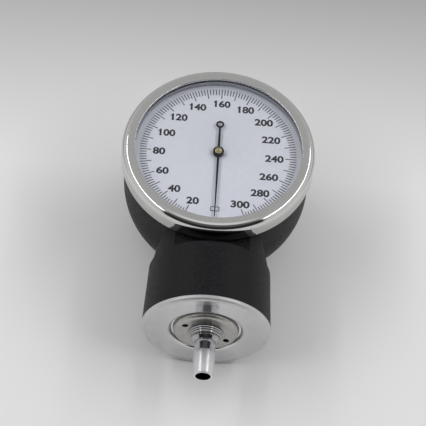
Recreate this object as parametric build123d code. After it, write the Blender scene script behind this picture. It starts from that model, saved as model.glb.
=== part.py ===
from build123d import *
import os
from math import acos, cos, degrees, pi, radians, sin, sqrt, tan

# Aneroid pressure gauge head. Millimetres. The origin is on the pointer axis at the flat
# back, +Z comes out of the dial and -Y runs along the grip to the hose nozzle.

# Fits, as radial clearances
RUNNING_FIT = 0.04
LOCATING_FIT = 0.05
PRESS_FIT = 0.01
CONTACT_GAP = 0.12

# Bowl, neck and grip, moulded in one
BOWL_INSET = 1.1
BACK_D = 30.0
BOWL_TURN_Z = 24.7
WALL = 2.4
NECK_STEP = 0.6
NECK_BURIED = 11.9
NECK_TOP_GAP = 1.1
NECK_WALL = 2.7
FLANK_STEP = 0.1
FLANK_SLOPE = 25.0
NECK_ROUND = 3.0
GRIP_GAP = 2.3
GRIP_L = 21.9
GRIP_TAPER = 1.0
GRIP_BACK_ROUND = 0.9
GRIP_WALL = 3.4
GRIP_BORE_DEPTH = 8.0

# Bezel and window
BEZEL_D = 66.0
BEZEL_WALL = 1.5
BEZEL_H = 7.4
BEZEL_FALL = 0.4
BEZEL_ROUND = 1.6
LIP_W = 4.55
LIP_T = 0.8
LIP_ROUND = 0.2
SHOULDER_GAP = 0.2
BEAD_DEPTH = 0.2
BEAD_H = 0.6
BEAD_UP = 0.5
CRYSTAL_T = 1.0
GASKET_W = 1.0
DIAL_RING_H = 2.2
DIAL_RING_W = 2.95
DIAL_T = 0.5
DIAL_HOLE_R = 1.5

# End flange and hose fitting, placed by their distance from the pointer axis
FLANGE_D = 43.4
FLANGE_T = 1.7
FLANGE_ROUND = 1.1
FLANGE_SPIGOT = 1.8
FLANGE_PROUD = 0.1
RECESS_R = 12.0
RECESS_DEPTH = 2.0
RECESS_ROUND = 0.9
SEAL_GROOVE = 0.9
SEAL_W = 1.0
DISC_R = 11.05
DISC_T = 1.7
DISC_EDGE = 0.6
SPANNER_R = 1.05
SPANNER_PCD = 16.2
SPANNER_ANGLE = 150.0
SPANNER_DEPTH = 1.2
BODY_R = 5.0
BODY_SHOULDER_R = 8.0
BODY_SHOULDER_T = 2.0
GASKET_T = 0.8
BOSS_R = 5.9
BOSS_STEP = 0.45
BOSS_STEP_L = 0.85
BOSS_STEPS = 3
BOSS_TAPER_L = 2.0
BOSS_NOSE_R = 4.2
STEM_R = 3.5
STEM_L = 3.65
NOZZLE_L = 8.8
NOZZLE_BACK_R = 3.85
NOZZLE_TIP_R = 3.28
NOZZLE_ROUND = 0.4
NOZZLE_BORE_R = 2.45
SOCKET_DEPTH = 3.0
SOCKET_R = 2.9
SOCKET_END_GAP = 0.3
AIRWAY_R = 0.9
SPIGOT_R = 1.5
SPIGOT_L = 6.0

# Height of the dial's face over the grip's axis
DIAL_OVER_AXIS = 20.0

# Pointer
POINTER_GAP = 2.2
POINTER_WIDE = 0.86
POINTER_NARROW = 0.35
POINTER_T = 0.3
POINTER_LIFT = 0.8
TAIL_L = 11.4
TAIL_NARROW = 0.62
EYE_R = 1.4
EYE_HOLE_R = 0.7
HUB_R = 1.85
HUB_H = 1.0
COLLET_R = 1.25
COLLET_H = 1.6
DIMPLE = 0.25

# Movement plates, pillars and screws
PLATE_T = 1.2
PLATE_SPACE = 7.8
PLATE_DROP = 1.6
LOBE_R = 3.4
PILLAR_INSET = 4.4
PILLAR_ANGLE = 90.0
PILLAR_R = 1.75
STUD_R = 1.0
SCREW_R = 0.75
SCREW_L = 4.0
SCREW_HEAD_R = 1.5
SCREW_HEAD_H = 0.8
BUSH_R = 1.9
BUSH_H = 1.8

# Gear train
MODULE = 0.25
PINION_TEETH = 12
GEAR_RATIO = 8.0
PRESSURE_ANGLE = 25.0
BACKLASH = 0.06
ROOT_DEPTH = 1.25
FLANK_POINTS = 4
SECTOR_TEETH = 15
SECTOR_T = 1.2
SECTOR_UP = 2.4
SECTOR_HUB_R = 2.2
SECTOR_RIM = 1.6
SECTOR_SPOKE = 1.2
PINION_T = 1.8
ARBOR_R = 0.9
PIVOT_R = 0.45
PIVOT_GAP = 0.1
POINTER_SWEEP = 337.5

# Rocker that turns the rise of the capsule into a swing of the sector
CAPSULE_RISE = 1.2
PUSH_ARM = 4.0
DRIVE_ARM = 6.5
ROCKER_ARM_T = 0.8
ROCKER_ARM_W = 1.6
ROCKER_HUB_R = 1.5
ROCKER_HUB_W = 2.2
ROCKER_R = 0.8
ROCKER_FRONT = 2.4
ROCKER_BACK = 14.3
EAR_T = 1.0
EAR_W = 3.2
EAR_BELOW = 1.3
TAIL_PIN_R = 0.4
TAIL_PIN_GRIP = 0.3
BLADE_OVER = 0.3

# Hairspring
HAIRSPRING_TURNS = 4
HAIRSPRING_PITCH = 1.1
HAIRSPRING_T = 0.2
HAIRSPRING_H = 0.6
HAIRSPRING_UP = 5.4
COLLET_WALL = 1.0
SPRING_COLLET_H = 1.0
SPRING_STUD_W = 1.6
SPRING_STUD_L = 1.4

# Capsule
CAPSULE_GAP = 1.25
CAPSULE_RIM_W = 1.5
CAPSULE_DISH = 2.3
CAPSULE_T = 0.3
CAPSULE_FLAT_R = 3.6
WAVE_H = 0.35
WAVES = 3
WAVE_POINTS = 4
PUSH_PIN_R = 0.8
PUSH_PIN_L = 2.88
PUSH_BASE_R = 3.0
PUSH_BASE_H = 0.8

# Inlet under the capsule, base frame, posts and hose
FRAME_T = 1.6
FRAME_INSET = 7.5
FRAME_WINDOW_R = 4.2
FRAME_WINDOW_INSET = 7.0
POST_INSET = 3.9
POST_ANGLE = 60.0
POST_R = 3.2
POST_HOLE_R = 1.0
FRAME_SCREW_R = 0.95
FRAME_SCREW_L = 6.5
FRAME_SCREW_HEAD_R = 2.0
FRAME_SCREW_HEAD_H = 1.2
INLET_R = 2.6
INLET_TUBE_R = 2.0
INLET_HEAD_R = 4.2
INLET_HEAD_H = 5.8
INLET_COLLAR_R = 3.4
INLET_COLLAR_H = 0.5
NUT_ACROSS = 8.0
NUT_H = 1.6
BARB_DROP = 3.2
HOSE_R = 2.5
HOSE_BORE_R = 1.55
HOSE_BEND_R = 11.0
HOSE_GAP = 0.3
HOSE_RUN = 18.0
HOSE_LAST_RUN = 7.0

# Heights that follow from the sizes above
AXIS_Z = FLANGE_D / 2
DIAL_Z = AXIS_Z + DIAL_OVER_AXIS
RIM_TOP = DIAL_Z - DIAL_T
CRYSTAL_Z = DIAL_Z + DIAL_RING_H
LIP_UNDER = CRYSTAL_Z + CRYSTAL_T
LIP_TOP = LIP_UNDER + LIP_T
BEZEL_BOTTOM = LIP_TOP - BEZEL_H
RIM_SHOULDER = BEZEL_BOTTOM - SHOULDER_GAP
NECK_TOP = BEZEL_BOTTOM - NECK_TOP_GAP
TOP_PLATE_Z = RIM_TOP - PLATE_DROP - PLATE_T
LOW_PLATE_TOP = TOP_PLATE_Z - PLATE_SPACE
LOW_PLATE_Z = LOW_PLATE_TOP - PLATE_T
SECTOR_Z = LOW_PLATE_TOP + SECTOR_UP

# Radii that follow
BEZEL_R = BEZEL_D / 2
BEZEL_INNER_R = BEZEL_R - BEZEL_WALL
LIP_R = BEZEL_R - LIP_W
BOWL_R = BEZEL_R - BOWL_INSET
BACK_R = BACK_D / 2
RIM_R = BEZEL_INNER_R - LOCATING_FIT
CRYSTAL_R = BEZEL_INNER_R - GASKET_W
DIAL_RING_R = RIM_R - DIAL_RING_W
POINTER_L = DIAL_RING_R - POINTER_GAP
FLANGE_R = FLANGE_D / 2
GRIP_END_R = FLANGE_R - FLANGE_PROUD
GRIP_BACK_R = GRIP_END_R - GRIP_TAPER
GRIP_BORE_R = GRIP_END_R - GRIP_WALL
NECK_R = GRIP_BACK_R - NECK_STEP
NECK_INNER_R = NECK_R - NECK_WALL
FLANK_HALF_W = NECK_R - FLANK_STEP
FRAME_R = BOWL_R - FRAME_INSET
POST_PCD = 2 * (FRAME_R - POST_INSET)
PILLAR_PCD = 2 * (FRAME_R - PILLAR_INSET)
FRAME_WINDOW_PCD = POST_PCD - 2 * FRAME_WINDOW_INSET
CAPSULE_R = PILLAR_PCD / 2 - PILLAR_R - CAPSULE_GAP

# Gear and lever sizes that follow
PINION_PITCH_R = MODULE * PINION_TEETH / 2
SECTOR_PITCH_R = PINION_PITCH_R * GEAR_RATIO
CENTRES = PINION_PITCH_R + SECTOR_PITCH_R
SECTOR_X = PUSH_ARM
SECTOR_Y = sqrt(CENTRES**2 - SECTOR_X**2)
AIM_FROM_PINION = degrees(acos(SECTOR_X / CENTRES))
SECTOR_SWING = POINTER_SWEEP / GEAR_RATIO
ROCKER_SWING = degrees(CAPSULE_RISE / PUSH_ARM)
TAIL_R = DRIVE_ARM * sin(radians(ROCKER_SWING / 2)) / sin(radians(SECTOR_SWING / 2))
CONTACT_Z = SECTOR_Z - 2 * BLADE_OVER - TAIL_PIN_GRIP
ROCKER_Z = CONTACT_Z - DRIVE_ARM
PUSH_TIP_Z = ROCKER_Z - ROCKER_ARM_T / 2 - CONTACT_GAP - CAPSULE_RISE / 2

# Capsule, frame and hose heights that follow
CAPSULE_TOP = PUSH_TIP_Z - PUSH_PIN_L
CAPSULE_RIM_Z = CAPSULE_TOP - CAPSULE_T - CAPSULE_DISH
CAPSULE_FOOT = CAPSULE_RIM_Z - CAPSULE_DISH - CAPSULE_T
BARB_Z = AXIS_Z - NECK_INNER_R + HOSE_GAP + HOSE_R
FRAME_Z = BARB_Z + BARB_DROP
FRAME_TOP = FRAME_Z + FRAME_T

# Distances along the grip that follow
NECK_FROM = BOWL_R - NECK_BURIED
GRIP_BACK = BEZEL_R + GRIP_GAP
GRIP_END = GRIP_BACK + GRIP_L
FLANGE_FRONT = GRIP_END + FLANGE_T
RECESS_FLOOR = FLANGE_FRONT - RECESS_DEPTH
FLANGE_BACK = RECESS_FLOOR - FLANGE_SPIGOT
DISC_FRONT = RECESS_FLOOR + DISC_T
SHOULDER_FRONT = FLANGE_BACK - GASKET_T
SHOULDER_BACK = SHOULDER_FRONT - BODY_SHOULDER_T
BOSS_FRONT = DISC_FRONT + BOSS_STEPS * BOSS_STEP_L + BOSS_TAPER_L
NOZZLE_BACK = BOSS_FRONT + STEM_L
NOZZLE_TIP = NOZZLE_BACK + NOZZLE_L

FULL_TURN = 360.0
QUARTER_TURN = 90.0
STANDING = (Align.CENTER, Align.CENTER, Align.MIN)
GRIP_AXIS = Plane(origin=(0, 0, AXIS_Z), x_dir=(1, 0, 0), z_dir=(0, -1, 0))


def rod(radius, low, high, x=0.0, y=0.0):
    """Upright round bar between two heights."""
    return Pos(x, y, low) * Cylinder(radius, high - low, align=STANDING)


def tube(outer, inner, low, high):
    """Upright ring between two heights."""
    return rod(outer, low, high) - rod(inner, low, high)


def block(x, y, low, wide, deep, high):
    """Upright block centred over x and y."""
    return Pos(x, y, low) * Box(wide, deep, high - low, align=STANDING)


def rounded(face, corners):
    """Round an outline at the corners nearest to the given points."""
    for point, radius in corners:
        corner = face.vertices().sort_by_distance(point)[0]
        face = fillet(corner, radius)
    return face


def turned(points, corners=()):
    """Solid turned about Z from an outline of radius and height points."""
    face = rounded(make_face(Polyline(*points, close=True)), corners)
    return revolve(Plane.XZ * face, Axis.Z)


def on_circle(radius, angle):
    """Point on a circle at an angle in degrees."""
    return radius * cos(radians(angle)), radius * sin(radians(angle))


def around(count, diameter, start=0.0):
    """Places evenly spaced on a circle."""
    return [on_circle(diameter / 2, start + FULL_TURN * k / count) for k in range(count)]


def turned_about(part, x, z, angle):
    """Part swung about a line along Y through x and z."""
    return Pos(x, 0, z) * Rot(0, angle, 0) * Pos(-x, 0, -z) * part


# Moulded housing


def bowl_shape(radius, floor, top):
    """Bowl with a flat back, an elliptical turn and a straight wall."""
    turn = EllipticalCenterArc(
        (BACK_R, BOWL_TURN_Z),
        radius - BACK_R,
        BOWL_TURN_Z - floor,
        start_angle=-QUARTER_TURN,
        arc_size=QUARTER_TURN,
    )
    lines = [
        Line((0, floor), (BACK_R, floor)),
        turn,
        Line((radius, BOWL_TURN_Z), (radius, top)),
        Line((radius, top), (0, top)),
        Line((0, top), (0, floor)),
    ]
    return revolve(Plane.XZ * make_face(lines), Axis.Z)


def neck_shape(radius, inset, top, start, end):
    """Neck: round below, flat on top, its flanks closing in on the bowl."""
    core = GRIP_AXIS * rod(radius, start, end)
    slope = tan(radians(FLANK_SLOPE))
    near = FLANK_HALF_W - (GRIP_BACK - start) * slope - inset
    far = FLANK_HALF_W - (GRIP_BACK - end) * slope - inset
    plan = Polygon((-near, -start), (-far, -end), (far, -end), (near, -start))
    neck = core & extrude(plan, top)
    crease = [e for e in neck.edges() if e.geom_type == GeomType.ELLIPSE]
    return fillet(crease, NECK_ROUND)


def grip_shape():
    """Round grip that widens a little towards the flange."""
    points = [(0, GRIP_BACK), (GRIP_BACK_R, GRIP_BACK), (GRIP_END_R, GRIP_END), (0, GRIP_END)]
    return GRIP_AXIS * turned(points, [((GRIP_BACK_R, GRIP_BACK), GRIP_BACK_ROUND)])


def housing_skin():
    """Outer form of the moulding."""
    neck = neck_shape(NECK_R, 0, NECK_TOP, NECK_FROM, GRIP_BACK + GRIP_BACK_ROUND)
    rim = rod(RIM_R, RIM_SHOULDER, RIM_TOP)
    return bowl_shape(BOWL_R, 0, RIM_SHOULDER) + rim + neck + grip_shape()


def housing_hollow():
    """Everything inside the moulding: bowl, passage through the neck, bore of the grip."""
    bowl = bowl_shape(BOWL_R - WALL, WALL, RIM_TOP)
    neck = neck_shape(NECK_INNER_R, WALL, NECK_TOP - WALL, BACK_R, GRIP_BACK + WALL)
    grip = GRIP_AXIS * rod(NECK_INNER_R, GRIP_BACK + WALL, GRIP_END)
    mouth = GRIP_AXIS * rod(GRIP_BORE_R, GRIP_END - GRIP_BORE_DEPTH, GRIP_END)
    return bowl + neck + grip + mouth


def housing():
    """Bowl, neck and grip as one moulding, with rim, snap groove and three posts."""
    groove = tube(
        RIM_R + WALL,
        RIM_R - BEAD_DEPTH - LOCATING_FIT,
        BEZEL_BOTTOM + BEAD_UP - LOCATING_FIT,
        BEZEL_BOTTOM + BEAD_UP + BEAD_H + LOCATING_FIT,
    )
    body = housing_skin() - housing_hollow() - groove
    within = bowl_shape(BOWL_R - WALL / 2, WALL / 2, RIM_TOP)
    for x, y in around(3, POST_PCD, POST_ANGLE):
        body += rod(POST_R, WALL / 2, FRAME_Z, x, y) & within
        body -= rod(POST_HOLE_R, FRAME_TOP - FRAME_SCREW_L, FRAME_Z, x, y)
    return body


# Window stack


def bezel():
    """Chrome ring that snaps over the rim and holds the window down."""
    top_edge = LIP_TOP - BEZEL_FALL
    points = [
        (BEZEL_INNER_R, BEZEL_BOTTOM),
        (BEZEL_R, BEZEL_BOTTOM),
        (BEZEL_R, top_edge),
        (LIP_R, LIP_TOP),
        (LIP_R, LIP_UNDER),
        (BEZEL_INNER_R, LIP_UNDER),
    ]
    corners = [
        ((BEZEL_R, top_edge), BEZEL_ROUND),
        ((BEZEL_R, BEZEL_BOTTOM), LIP_ROUND),
        ((LIP_R, LIP_TOP), LIP_ROUND),
    ]
    bead = tube(
        BEZEL_INNER_R + BEZEL_WALL / 2,
        BEZEL_INNER_R - BEAD_DEPTH,
        BEZEL_BOTTOM + BEAD_UP,
        BEZEL_BOTTOM + BEAD_UP + BEAD_H,
    )
    return turned(points, corners) + bead


def crystal():
    """Flat clear window."""
    return rod(CRYSTAL_R, CRYSTAL_Z, LIP_UNDER)


def crystal_gasket():
    """Soft ring between the window's edge and the bezel."""
    return tube(BEZEL_INNER_R - LOCATING_FIT, CRYSTAL_R + PRESS_FIT, CRYSTAL_Z, LIP_UNDER)


def dial_ring():
    """Bright ring that keeps the window off the dial."""
    return tube(RIM_R, DIAL_RING_R, DIAL_Z, CRYSTAL_Z)


def dial_plate():
    """Printed dial, clamped on the rim."""
    return tube(RIM_R, DIAL_HOLE_R, RIM_TOP, DIAL_Z)


# Pointer and its arbor


def pointer():
    """Tapered hand with a ring at its tail, pointing to zero."""
    base = DIAL_Z + POINTER_LIFT
    wide = POINTER_WIDE / 2
    narrow = POINTER_NARROW / 2
    hand = Polygon((-wide, 0), (-narrow, -POINTER_L), (narrow, -POINTER_L), (wide, 0))
    slim = TAIL_NARROW / 2
    tail = Polygon((wide, 0), (slim, TAIL_L), (-slim, TAIL_L), (-wide, 0))
    eye = Pos(0, TAIL_L) * (Circle(EYE_R) - Circle(EYE_HOLE_R))
    flat = hand + (tail - Pos(0, TAIL_L) * Circle(EYE_HOLE_R)) + eye
    blade = Pos(0, 0, base) * extrude(flat, POINTER_T)
    low = base + POINTER_T / 2 - HUB_H / 2
    return blade + rod(HUB_R, low, low + HUB_H) - rod(COLLET_R + PRESS_FIT, low, low + HUB_H)


def collet_span():
    """Lowest and highest point of the pointer's collet."""
    low = DIAL_Z + POINTER_LIFT + POINTER_T / 2 - COLLET_H / 2
    return low, low + COLLET_H


def pointer_collet():
    """Brass bush that grips the arbor."""
    low, high = collet_span()
    return rod(COLLET_R, low, high) - rod(ARBOR_R, low, high)


def pointer_arbor():
    """Upright steel shaft that carries the pointer."""
    _, high = collet_span()
    body = rod(ARBOR_R - PRESS_FIT, LOW_PLATE_TOP + PIVOT_GAP, high - DIMPLE)
    return body + rod(PIVOT_R, LOW_PLATE_Z + PIVOT_GAP, LOW_PLATE_TOP + PIVOT_GAP)


def half_tooth_angle(radius, teeth):
    """Half the angle of an involute tooth at a radius."""
    pitch_r = MODULE * teeth / 2
    base_r = pitch_r * cos(radians(PRESSURE_ANGLE))
    pressure = radians(PRESSURE_ANGLE)
    here = acos(min(1.0, base_r / radius))
    thickness = pi * MODULE / 2 - BACKLASH
    return thickness / (2 * pitch_r) + (tan(pressure) - pressure) - (tan(here) - here)


def tooth(teeth):
    """Outline of one tooth on the +X side, from below its root to its tip."""
    pitch_r = MODULE * teeth / 2
    base_r = pitch_r * cos(radians(PRESSURE_ANGLE))
    root_r = pitch_r - ROOT_DEPTH * MODULE
    start = max(base_r, root_r)
    tip_r = pitch_r + MODULE
    radii = [start + (tip_r - start) * k / (FLANK_POINTS - 1) for k in range(FLANK_POINTS)]
    flank = [(r, half_tooth_angle(r, teeth)) for r in radii]
    flank.insert(0, (root_r - MODULE / 2, half_tooth_angle(start, teeth)))
    upper = [(r * cos(a), r * sin(a)) for r, a in flank]
    lower = [(x, -y) for x, y in reversed(upper)]
    return make_face(Polyline(*lower, *upper, close=True))


def pinion():
    """Twelve-leaf pinion, meshed with the sector at rest."""
    root_r = PINION_PITCH_R - ROOT_DEPTH * MODULE
    towards = AIM_FROM_PINION + SECTOR_SWING / 2 * GEAR_RATIO
    pitch = FULL_TURN / PINION_TEETH
    flat = Circle(root_r)
    for k in range(PINION_TEETH):
        flat += Rot(0, 0, towards + (k + 0.5) * pitch) * tooth(PINION_TEETH)
    low = SECTOR_Z + SECTOR_T / 2 - PINION_T / 2
    return Pos(0, 0, low) * extrude(flat - Circle(ARBOR_R), PINION_T)


def at_rest(part):
    """Sector piece drawn at mid swing, turned back to its place at zero pressure."""
    return Pos(SECTOR_X, SECTOR_Y, 0) * Rot(0, 0, -SECTOR_SWING / 2) * part


def wedge(aim, half_angle, reach):
    """Triangle from the origin, as wide as an angle."""
    sides = [on_circle(reach, aim - half_angle), on_circle(reach, aim + half_angle)]
    return make_face(Polyline((0, 0), *sides, close=True))


def sector_gear():
    """Toothed sector with a rim, two spokes, a hub and the pin that the rocker pushes."""
    teeth = PINION_TEETH * GEAR_RATIO
    pitch = FULL_TURN / teeth
    root_r = SECTOR_PITCH_R - ROOT_DEPTH * MODULE
    aim = AIM_FROM_PINION - 180
    spread = SECTOR_TEETH * pitch / 2
    narrow = spread - 2 * degrees(SECTOR_SPOKE / root_r)
    web = Circle(root_r) & wedge(aim, spread, 2 * root_r)
    middle = Circle(root_r - SECTOR_RIM) - Circle(TAIL_R + SECTOR_SPOKE)
    window = middle & wedge(aim, narrow, 2 * root_r)
    flat = web - window + Circle(SECTOR_HUB_R)
    for k in range(SECTOR_TEETH):
        flat += Rot(0, 0, aim + (k - (SECTOR_TEETH - 1) / 2) * pitch) * tooth(teeth)
    plate = Pos(0, 0, SECTOR_Z) * extrude(flat, SECTOR_T)
    pin = rod(TAIL_PIN_R, CONTACT_Z - BLADE_OVER, SECTOR_Z + SECTOR_T / 2, 0, -TAIL_R)
    return at_rest(plate + pin - rod(ARBOR_R, SECTOR_Z, SECTOR_Z + SECTOR_T))


def sector_arbor():
    """Steel shaft of the sector, with a thin pivot at each end."""
    body = rod(ARBOR_R - PRESS_FIT, LOW_PLATE_TOP + PIVOT_GAP, TOP_PLATE_Z - PIVOT_GAP)
    low = rod(PIVOT_R, LOW_PLATE_Z + PIVOT_GAP, LOW_PLATE_TOP + PIVOT_GAP)
    high = rod(PIVOT_R, TOP_PLATE_Z - PIVOT_GAP, TOP_PLATE_Z + PLATE_T - PIVOT_GAP)
    return Pos(SECTOR_X, SECTOR_Y, 0) * (body + low + high)


# Rocker


def rocker_at_rest(part):
    """Rocker piece drawn at mid swing, turned back to its place at zero pressure."""
    return turned_about(part, PUSH_ARM, ROCKER_Z, -ROCKER_SWING / 2)


def along_y(radius, front, back):
    """Bar along Y on the rocker's axis, from one y to another."""
    line = Plane(origin=(PUSH_ARM, front, ROCKER_Z), x_dir=(1, 0, 0), z_dir=(0, 1, 0))
    return line * Cylinder(radius, back - front, align=STANDING)


def rocker_shaft():
    """Steel cross shaft, with a pivot in each ear."""
    front = -ROCKER_FRONT + PIVOT_GAP
    back = ROCKER_BACK - PIVOT_GAP
    body = along_y(ROCKER_R - PRESS_FIT, front, back)
    return body + along_y(PIVOT_R, front - EAR_T, back + EAR_T)


def rocker_arms():
    """Push arm over the capsule and drive arm behind the sector's pin."""
    drive_y = SECTOR_Y - TAIL_R
    half_t = ROCKER_ARM_T / 2
    push_l = PUSH_ARM + ROCKER_ARM_W / 2
    push = block(PUSH_ARM - push_l / 2, 0, ROCKER_Z - half_t, push_l, ROCKER_ARM_W, ROCKER_Z + half_t)
    blade_x = PUSH_ARM - TAIL_PIN_R - CONTACT_GAP - half_t
    drive = block(blade_x, drive_y, ROCKER_Z, ROCKER_ARM_T, ROCKER_ARM_W, CONTACT_Z + BLADE_OVER)
    hubs = along_y(ROCKER_HUB_R, -ROCKER_HUB_W / 2, drive_y + ROCKER_HUB_W / 2)
    arms = hubs + push + drive - along_y(ROCKER_R, -ROCKER_HUB_W, drive_y + ROCKER_HUB_W)
    return rocker_at_rest(arms)


# Movement frame


def plate_outline():
    """Three-lobed plate, as wide as its pillars need."""
    lobes = [Pos(x, y) * Circle(LOBE_R) for x, y in around(3, PILLAR_PCD, PILLAR_ANGLE)]
    return make_hull([edge for lobe in lobes for edge in lobe.edges()])


def movement_plate(low, pivots, screw_r):
    """Brass plate with pivot holes and a hole at each pillar."""
    plate = Pos(0, 0, low) * extrude(plate_outline(), PLATE_T)
    for x, y, radius in pivots:
        plate -= rod(radius, low, low + PLATE_T, x, y)
    for x, y in around(3, PILLAR_PCD, PILLAR_ANGLE):
        plate -= rod(screw_r, low, low + PLATE_T, x, y)
    return plate


def movement_top_plate():
    """Upper plate under the dial."""
    pivots = [(0, 0, BUSH_R + PRESS_FIT), (SECTOR_X, SECTOR_Y, PIVOT_R + RUNNING_FIT)]
    return movement_plate(TOP_PLATE_Z, pivots, SCREW_R + LOCATING_FIT)


def movement_bottom_plate():
    """Lower plate with two ears that hold the rocker, and a slot for its drive arm."""
    pivots = [(0, 0, PIVOT_R + RUNNING_FIT), (SECTOR_X, SECTOR_Y, PIVOT_R + RUNNING_FIT)]
    plate = movement_plate(LOW_PLATE_Z, pivots, STUD_R + LOCATING_FIT)
    for y in (-ROCKER_FRONT - EAR_T / 2, ROCKER_BACK + EAR_T / 2):
        plate += block(PUSH_ARM, y, ROCKER_Z - EAR_BELOW, EAR_W, EAR_T, LOW_PLATE_Z)
    plate -= along_y(PIVOT_R + RUNNING_FIT, -ROCKER_FRONT - EAR_T, ROCKER_BACK + EAR_T)
    reach = (LOW_PLATE_TOP - ROCKER_Z) * sin(radians(ROCKER_SWING / 2))
    slot_w = ROCKER_ARM_T + 2 * reach + 4 * CONTACT_GAP
    slot_x = PUSH_ARM - TAIL_PIN_R - CONTACT_GAP - ROCKER_ARM_T / 2
    slot_l = ROCKER_ARM_W + 4 * CONTACT_GAP
    slot = block(slot_x, SECTOR_Y - TAIL_R, LOW_PLATE_Z, slot_w, slot_l, LOW_PLATE_TOP)
    return plate - slot


def upper_bearing():
    """Brass bush that the pointer's arbor turns in."""
    low = TOP_PLATE_Z
    return rod(BUSH_R, low, low + BUSH_H) - rod(ARBOR_R + RUNNING_FIT, low, low + BUSH_H)


def upper_pillars():
    """Three pillars between the plates, tapped at the top."""
    solids = []
    for x, y in around(3, PILLAR_PCD, PILLAR_ANGLE):
        pillar = rod(PILLAR_R, LOW_PLATE_TOP, TOP_PLATE_Z, x, y)
        depth = SCREW_L - PLATE_T + PRESS_FIT
        solids.append(pillar - rod(SCREW_R, TOP_PLATE_Z - depth, TOP_PLATE_Z, x, y))
    return solids


def lower_pillars():
    """Three tall pillars from the base frame to the lower plate, with a stud at each end."""
    solids = []
    for x, y in around(3, PILLAR_PCD, PILLAR_ANGLE):
        body = rod(PILLAR_R, FRAME_TOP, LOW_PLATE_Z, x, y)
        solids.append(body + rod(STUD_R, FRAME_Z, LOW_PLATE_TOP, x, y))
    return solids


def movement_screws():
    """Three cheese-head screws on the top plate."""
    top = TOP_PLATE_Z + PLATE_T
    return [
        rod(SCREW_R - PRESS_FIT, top - SCREW_L, top, x, y)
        + rod(SCREW_HEAD_R, top, top + SCREW_HEAD_H, x, y)
        for x, y in around(3, PILLAR_PCD, PILLAR_ANGLE)
    ]


# Hairspring


def hairspring_radius():
    """Centreline radius of the innermost turn, clear of its collet."""
    return ARBOR_R + COLLET_WALL + CONTACT_GAP + HAIRSPRING_T / 2


def hairspring():
    """Flat spiral of half circles, each one step wider than the last."""
    at = hairspring_radius()
    step = HAIRSPRING_PITCH / 2
    level = LOW_PLATE_TOP + HAIRSPRING_UP
    side = 1
    path = []
    for _ in range(2 * HAIRSPRING_TURNS):
        start = side * at
        end = -side * (at + step)
        middle = (start + end) / 2
        radius = at + step / 2
        path.append(ThreePointArc((start, 0), (middle, side * radius), (end, 0)))
        at += step
        side = -side
    section = Plane(origin=(hairspring_radius(), 0, level), x_dir=(1, 0, 0), z_dir=(0, 1, 0))
    return sweep(section * Rectangle(HAIRSPRING_T, HAIRSPRING_H), path=Pos(0, 0, level) * Wire(path))


def hairspring_collet():
    """Brass collar on the arbor that takes the spring's inner end."""
    low = LOW_PLATE_TOP + HAIRSPRING_UP - SPRING_COLLET_H / 2
    return rod(ARBOR_R + COLLET_WALL, low, low + SPRING_COLLET_H) - rod(ARBOR_R, low, low + SPRING_COLLET_H)


def hairspring_stud():
    """Post under the top plate that takes the spring's outer end."""
    out = hairspring_radius() + HAIRSPRING_TURNS * HAIRSPRING_PITCH
    low = LOW_PLATE_TOP + HAIRSPRING_UP - HAIRSPRING_H
    return block(out, SPRING_STUD_L / 2, low, SPRING_STUD_W, SPRING_STUD_L, TOP_PLATE_Z)


# Capsule


def diaphragm(side):
    """Corrugated disc that dishes away from the rim, up for +1 and down for -1."""
    rim_in = CAPSULE_R - CAPSULE_RIM_W
    steps = WAVES * WAVE_POINTS
    inner = []
    for k in range(steps + 1):
        part = k / steps
        radius = CAPSULE_FLAT_R + (rim_in - CAPSULE_FLAT_R) * part
        rise = CAPSULE_DISH * (1 - part) - WAVE_H * sin(2 * pi * WAVES * part)
        inner.append((radius, CAPSULE_RIM_Z + side * rise))
    outer = [(r, z + side * CAPSULE_T) for r, z in inner]
    top = CAPSULE_RIM_Z + side * CAPSULE_DISH
    rim = CAPSULE_RIM_Z
    lines = [
        Line((0, top), inner[0]),
        Spline(*inner),
        Line(inner[-1], (CAPSULE_R, rim)),
        Line((CAPSULE_R, rim), (CAPSULE_R, rim + side * CAPSULE_T)),
        Line((CAPSULE_R, rim + side * CAPSULE_T), outer[-1]),
        Spline(*reversed(outer)),
        Line(outer[0], (0, top + side * CAPSULE_T)),
        Line((0, top + side * CAPSULE_T), (0, top)),
    ]
    return revolve(Plane.XZ * make_face(lines), Axis.Z)


def capsule_upper_diaphragm():
    """Diaphragm that lifts with pressure."""
    return diaphragm(1)


def capsule_lower_diaphragm():
    """Diaphragm on the inlet, open at its middle."""
    return diaphragm(-1) - rod(INLET_TUBE_R + PRESS_FIT, CAPSULE_FOOT, CAPSULE_RIM_Z)


def capsule_stud():
    """Foot and domed pin that push the rocker."""
    foot = rod(PUSH_BASE_R, CAPSULE_TOP, CAPSULE_TOP + PUSH_BASE_H)
    pin = rod(PUSH_PIN_R, CAPSULE_TOP, PUSH_TIP_Z - PUSH_PIN_R)
    return foot + pin + Pos(0, 0, PUSH_TIP_Z - PUSH_PIN_R) * Sphere(PUSH_PIN_R)


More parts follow.
